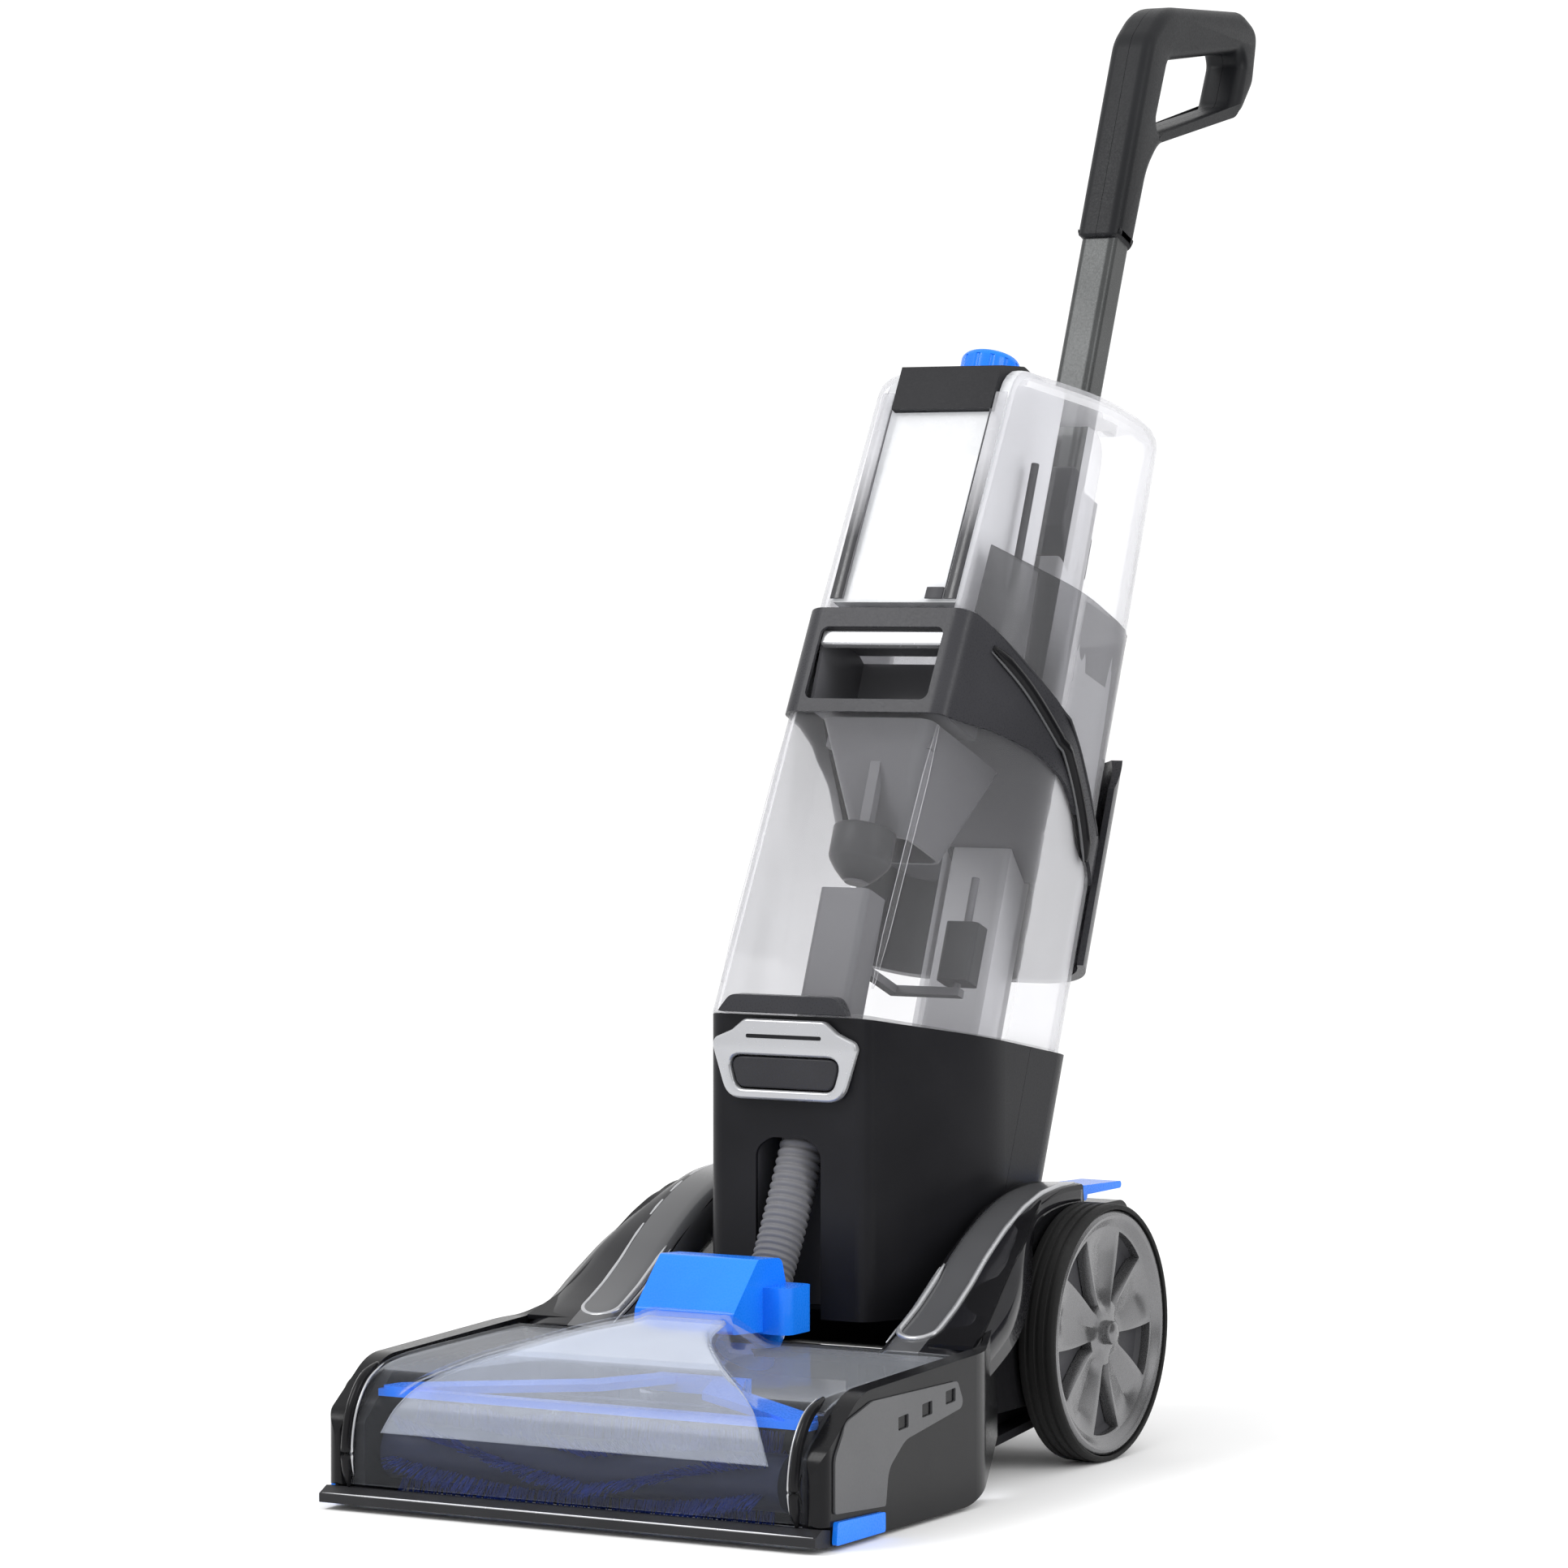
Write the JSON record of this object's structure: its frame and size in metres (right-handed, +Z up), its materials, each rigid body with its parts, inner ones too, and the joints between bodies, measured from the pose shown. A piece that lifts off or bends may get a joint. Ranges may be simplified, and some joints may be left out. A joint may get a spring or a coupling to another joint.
{
  "type": "carpet cleaner machine",
  "caption": "Upright carpet washer with a clear nozzle, driven brush roller, two spoked wheels, two stacked clear tanks, a reclining body and a loop handle.",
  "frame": {"origin": "middle of the footprint at floor level, under the centre of the bounding box", "axes": "+Z up; -Y is the forward direction, the side of the nozzle; +X runs across the machine, along the wheel axle"},
  "size_m": [0.391, 1.0374, 1.0766],
  "materials": {
    "rim_grey": "satin",
    "tyre": "matt",
    "steel": "brushed",
    "black_shell": "fine texture",
    "black_gloss": "gloss",
    "silver_trim": "satin silver",
    "blue": "gloss",
    "clear_cover": "clear",
    "clear_tank": "smoky clear",
    "frosted": "frosted",
    "lip_grey": "satin",
    "hose_grey": "satin",
    "brush_navy": "satin",
    "belt": "matt",
    "motor_metal": "brushed",
    "inner_plastic": "satin",
    "frame_grey": "satin",
    "tube_grey": "satin",
    "inner_grey": "satin",
    "float_dark": "satin"
  },
  "bodies": {
    "base": {"base_chassis": "black_shell", "base_screws": "steel", "base_deck": "black_shell", "fender_right": "black_gloss", "fender_left": "black_gloss", "fender_trims": "silver_trim", "side_panel_right": "black_gloss", "side_panel_left": "black_gloss", "side_trims": "silver_trim", "release_tabs": "blue", "recline_pins": "steel", "wheel_axles": "steel", "nozzle_cover": "clear_cover", "nozzle_lip": "lip_grey", "brush_frame": "blue", "duct_connector": "blue", "drive_belt": "belt", "brush_motor": "motor_metal", "water_pump": "inner_plastic", "spray_bar": "inner_plastic", "suction_hose": "hose_grey"},
    "wheel_left": {"wheel_rim_left": "rim_grey", "wheel_tyre_left": "tyre", "hub_cap_left": "rim_grey"},
    "wheel_right": {"wheel_rim_right": "rim_grey", "wheel_tyre_right": "tyre", "hub_cap_right": "rim_grey"},
    "brush": {"brush_roller": "brush_navy", "bristle_tufts": "brush_navy"},
    "motor_pulley": {"motor_pulley": "motor_metal"},
    "power_pedal": {"power_pedal": "blue"},
    "recline_pedal": {"recline_pedal": "blue"},
    "upright": {"housing_front": "black_shell", "housing_rear": "black_shell", "recess_liner": "inner_plastic", "latch_bezel": "silver_trim", "suction_motor": "motor_metal", "fan_housing": "inner_plastic", "rear_spine": "inner_plastic", "rear_frame": "frame_grey", "handle_tube": "tube_grey", "handle_loop_right": "black_shell", "handle_loop_left": "black_shell", "cord_gland": "black_shell"},
    "fan": {"fan_wheel": "inner_plastic"},
    "latch_button": {"latch_button": "inner_plastic"},
    "cord_hook": {"upper_cord_hook": "black_shell"},
    "dirty_tank": {"dirty_tank_shell": "clear_tank", "tank_lid": "inner_grey", "tank_collar": "frame_grey", "tank_carry_bar": "silver_trim", "separator_funnel": "inner_grey", "inlet_duct": "inner_grey", "tank_catch": "frame_grey"},
    "tank_float": {"tank_float": "float_dark"},
    "clean_tank": {"clean_tank_shell": "clear_tank", "solution_container": "frosted", "top_cap": "black_shell", "tank_valve": "inner_plastic"},
    "clean_knob": {"clean_knob": "blue"}
  },
  "joints": [
    {"name": "wheel_left_spin", "type": "hinge", "parent": "base", "child": "wheel_left", "pos_m": [-0.1635, -0.06511, 0.0914], "axis": [1, 0, 0], "continuous": true},
    {"name": "wheel_right_spin", "type": "hinge", "parent": "base", "child": "wheel_right", "pos_m": [0.1635, -0.06511, 0.0914], "axis": [1, 0, 0], "continuous": true},
    {"name": "brush_spin", "type": "hinge", "parent": "base", "child": "brush", "pos_m": [0, -0.46771, 0.036], "axis": [1, 0, 0], "continuous": true},
    {"name": "motor_pulley_spin", "type": "hinge", "parent": "base", "child": "motor_pulley", "pos_m": [0.155, -0.38371, 0.046], "axis": [1, 0, 0], "continuous": true},
    {"name": "power_pedal_press", "type": "hinge", "parent": "base", "child": "power_pedal", "pos_m": [0.127, -0.03871, 0.1845], "axis": [-1, 0, 0], "range_deg": [0, 6], "stiffness_Nm_per_rad": 2, "springref_deg": -5.73},
    {"name": "recline_pedal_press", "type": "hinge", "parent": "base", "child": "recline_pedal", "pos_m": [-0.127, -0.03871, 0.1845], "axis": [-1, 0, 0], "range_deg": [0, 6], "stiffness_Nm_per_rad": 2, "springref_deg": -5.73},
    {"name": "upright_recline", "type": "hinge", "parent": "base", "child": "upright", "pos_m": [0, -0.04271, 0.095], "axis": [-1, 0, 0], "range_deg": [0, 45], "deforming": ["suction_hose"]},
    {"name": "fan_spin", "type": "hinge", "parent": "upright", "child": "fan", "pos_m": [0, -0.08192, 0.21823], "axis": [0, 0.3697, 0.9291], "continuous": true},
    {"name": "latch_press", "type": "slide", "parent": "upright", "child": "latch_button", "axis": [0, 1, 0], "range_m": [0, 0.004], "stiffness_N_per_m": 1500, "springref_m": -0.002},
    {"name": "cord_hook_turn", "type": "hinge", "parent": "upright", "child": "cord_hook", "pos_m": [0, 0.20312, 0.63702], "axis": [0, 0.9291, -0.3697], "range_deg": [0, 180]},
    {"name": "dirty_tank_lift_out", "type": "slide", "parent": "upright", "child": "dirty_tank", "axis": [0, -0.9291, 0.3697], "range_m": [0, 0.25]},
    {"name": "float_rise", "type": "slide", "parent": "dirty_tank", "child": "tank_float", "axis": [0, 0.3697, 0.9291], "range_m": [0, 0.024]},
    {"name": "clean_tank_lift_out", "type": "slide", "parent": "upright", "child": "clean_tank", "axis": [0, 0.3697, 0.9291], "range_m": [0, 0.15]},
    {"name": "clean_knob_turn", "type": "hinge", "parent": "clean_tank", "child": "clean_knob", "pos_m": [0, 0.08515, 0.77599], "axis": [0, 0.3697, 0.9291], "range_deg": [0, 90]}
  ],
  "couplings": [
    {"joint": "motor_pulley_spin", "follows": "brush_spin", "ratio": 1.875}
  ]
}
